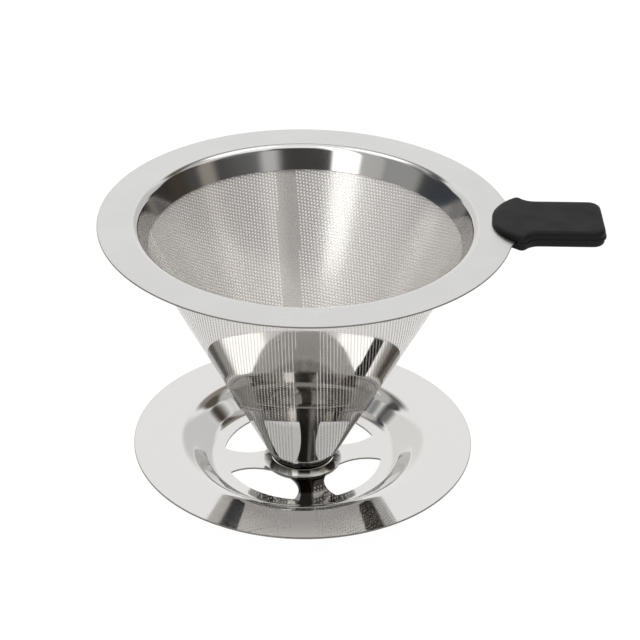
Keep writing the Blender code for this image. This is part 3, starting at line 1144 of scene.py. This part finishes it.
# What the steel mirrors, in degrees: each lies over the ones before it. Azimuth 0 is behind the
# camera, and it grows towards +X, the right. A patch is (azimuth, half width, softness, elevation,
# half height, softness, colour).
PATCHES = [
    # walls behind the object, right and left
    (142, 24, 6, 20, 17, 4, (0.8, 0.8, 0.8)),
    (-142, 24, 6, 20, 15, 4, (0.97, 0.96, 0.94)),
    # a grey band all round, then the ceiling, brightest at its sides
    (0, 200, 1, 50.5, 7, 2, (0.62, 0.6, 0.58)),
    (0, 96, 8, 66, 24, 4, (1.3, 1.3, 1.3)),
    (-112, 24, 5, 68, 10, 3, (2.6, 2.6, 2.6)),
    (108, 26, 5, 70, 11, 3, (2.6, 2.6, 2.6)),
    # the dark side behind the camera, darkest in the middle
    (0, 117, 4, 0, 38, 6, (0.09, 0.088, 0.085)),
    (8, 22, 4, 20, 34, 6, (0.07, 0.068, 0.065)),
    # on the left, from the side towards the camera; the fifth is the long strip light
    (-110, 18, 4, 0, 14, 5, (0.06, 0.067, 0.08)),
    (-94, 8, 4, 34, 14, 6, (0.25, 0.255, 0.27)),
    (-72, 14, 4, 30, 22, 8, (0.42, 0.42, 0.41)),
    (-49, 9, 3, 20, 40, 3, (0.62, 0.62, 0.6)),
    (-29, 10, 2, 20, 60, 3, (2.5, 2.5, 2.46)),
    # on the right, from the camera towards the side
    (27, 7, 4, 0, 33, 5, (0.7, 0.69, 0.68)),
    (48, 14, 4, 34, 10, 5, (0.25, 0.25, 0.25)),
    (74, 6, 3, 15, 26, 5, (0.4, 0.36, 0.32)),
    (74, 9, 4, 38, 9, 5, (0.75, 0.7, 0.62)),
    (104, 13, 4, 0, 39, 4, (0.075, 0.06, 0.047)),
    (117, 12, 4, 2, 12, 3, (0.05, 0.046, 0.042)),
]
# The dark smudges that the stand's step mirrors. An oval is (azimuth, elevation, half length, half
# height, turn, softness, colour).
OVALS = [
    (158, 48.5, 20, 5.5, 5, 0.3, (0.33, 0.3, 0.27)),
    (132, 46.5, 19, 6, 15, 0.25, (0.13, 0.113, 0.095)),
    (-152, 48.5, 14, 3.2, -3, 0.4, (0.2, 0.2, 0.21)),
    (-123, 43, 21, 4.5, -17, 0.3, (0.1, 0.1, 0.107)),
]


def make_floor():
    """A white ground just below the stand, which glows so that the picture's ground is white."""
    mesh = bpy.data.meshes.new("floor")
    size = 4.0
    level = STAND_LOW.z - 0.3 * MM
    verts = [(-size, -size, level), (size, -size, level), (size, size, level), (-size, size, level)]
    mesh.from_pydata(verts, [], [(0, 1, 2, 3)])
    floor = bpy.data.objects.new("floor", mesh)
    SCENE.collection.objects.link(floor)
    made, _, shader = new_material("floor", (0.06, 0.06, 0.06), 0.0, 0.9)
    shader.inputs["Specular IOR Level"].default_value = 0.0
    shader.inputs["Emission Color"].default_value = (1, 1, 1, 1)
    shader.inputs["Emission Strength"].default_value = 0.96
    mesh.materials.append(made)


def soft_step(tree, source, centre, half, soft):
    """1 where source is within half of centre, falling softly to 0 outside."""
    away = add_node(tree, "Math", operation="SUBTRACT")
    tree.links.new(source, away.inputs[0])
    away.inputs[1].default_value = centre
    size = add_node(tree, "Math", operation="ABSOLUTE")
    tree.links.new(away.outputs[0], size.inputs[0])
    mapped = ramp(tree, size.outputs[0], half - soft, half + soft, 1, 0)
    mapped.node.interpolation_type = "SMOOTHSTEP"
    return mapped


def patch_mask(tree, azimuth, elevation, patch):
    """1 inside a patch, with soft edges."""
    at, half, fade, above, tall, fade_up = map(math.radians, patch)
    mask = add_node(tree, "Math", operation="MULTIPLY")
    tree.links.new(soft_step(tree, azimuth, at, half, fade), mask.inputs[0])
    tree.links.new(soft_step(tree, elevation, above, tall, fade_up), mask.inputs[1])
    return mask.outputs[0]


def oval_mask(tree, direction, oval):
    """1 inside an oval, with soft edges; fade is a share of its size."""
    at, above, half, tall, turn = map(math.radians, oval[:5])
    fade = oval[5]
    place = add_node(tree, "Mapping", vector_type="TEXTURE")
    tree.links.new(direction, place.inputs["Vector"])
    place.inputs["Location"].default_value = (at, above, 0)
    place.inputs["Rotation"].default_value = (0, 0, turn)
    place.inputs["Scale"].default_value = (half, tall, 1)
    distance = add_node(tree, "VectorMath", operation="LENGTH")
    tree.links.new(place.outputs["Vector"], distance.inputs[0])
    return ramp(tree, distance.outputs["Value"], 1 - fade, 1 + fade, 1, 0)


def sky_angles(tree):
    """Azimuth and elevation of the direction looked in, and both as one vector."""
    parts = add_node(tree, "SeparateXYZ")
    tree.links.new(add_node(tree, "TexCoord").outputs["Generated"], parts.inputs[0])
    forward = add_node(tree, "Math", operation="MULTIPLY")
    tree.links.new(parts.outputs["Y"], forward.inputs[0])
    forward.inputs[1].default_value = -1
    azimuth = add_node(tree, "Math", operation="ARCTAN2")
    tree.links.new(parts.outputs["X"], azimuth.inputs[0])
    tree.links.new(forward.outputs[0], azimuth.inputs[1])
    elevation = add_node(tree, "Math", operation="ARCSINE")
    tree.links.new(parts.outputs["Z"], elevation.inputs[0])
    both = add_node(tree, "CombineXYZ")
    tree.links.new(azimuth.outputs[0], both.inputs[0])
    tree.links.new(elevation.outputs[0], both.inputs[1])
    return azimuth.outputs[0], elevation.outputs[0], both.outputs[0]


def light_room(tree, colour):
    """Lights with the room's colour, stronger for diffuse rays, and shows the camera white."""
    seen = add_node(tree, "LightPath")
    room = add_node(tree, "Background")
    tree.links.new(colour, room.inputs["Color"])
    strength = ramp(tree, seen.outputs["Is Diffuse Ray"], 0, 1, 1, DIFFUSE_FILL)
    tree.links.new(strength, room.inputs["Strength"])
    plain = add_node(tree, "Background")
    plain.inputs["Color"].default_value = (1, 1, 1, 1)
    choice = add_node(tree, "MixShader")
    tree.links.new(seen.outputs["Is Camera Ray"], choice.inputs[0])
    tree.links.new(room.outputs[0], choice.inputs[1])
    tree.links.new(plain.outputs[0], choice.inputs[2])
    output = add_node(tree, "OutputWorld")
    tree.links.new(choice.outputs[0], output.inputs["Surface"])


def make_studio():
    """A white room with a dark side behind the camera, where softboxes stand."""
    world = bpy.data.worlds.new("studio")
    SCENE.world = world
    world.use_nodes = True
    tree = world.node_tree
    tree.nodes.clear()
    azimuth, elevation, both = sky_angles(tree)
    colour = ROOM_WHITE
    for *patch, shade in PATCHES:
        colour = lay_over(tree, colour, patch_mask(tree, azimuth, elevation, patch), shade)
    for *oval, shade in OVALS:
        colour = lay_over(tree, colour, oval_mask(tree, both, oval), shade)
    light_room(tree, colour)
    SCENE.view_settings.view_transform = "Standard"


# ---- the object

make_camera()
polished = polished_steel()
etched = etched_steel()
woven = woven_steel()
cut_and_shaded_edge = cut_and_shaded_edge_steel()
make_flange([drawn_steel(), satin_steel(), cut_and_shaded_edge])
make_grip(black_silicone())
make_outer_cone([etched, brushed_steel()])
make_inner_cone(woven)
make_stand([polished, cut_and_shaded_edge])
for name, finish in (("mesh_floor", woven), ("tip_disc", etched)):
    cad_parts[name].data.materials.clear()
    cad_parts[name].data.materials.append(finish)
make_floor()
make_studio()
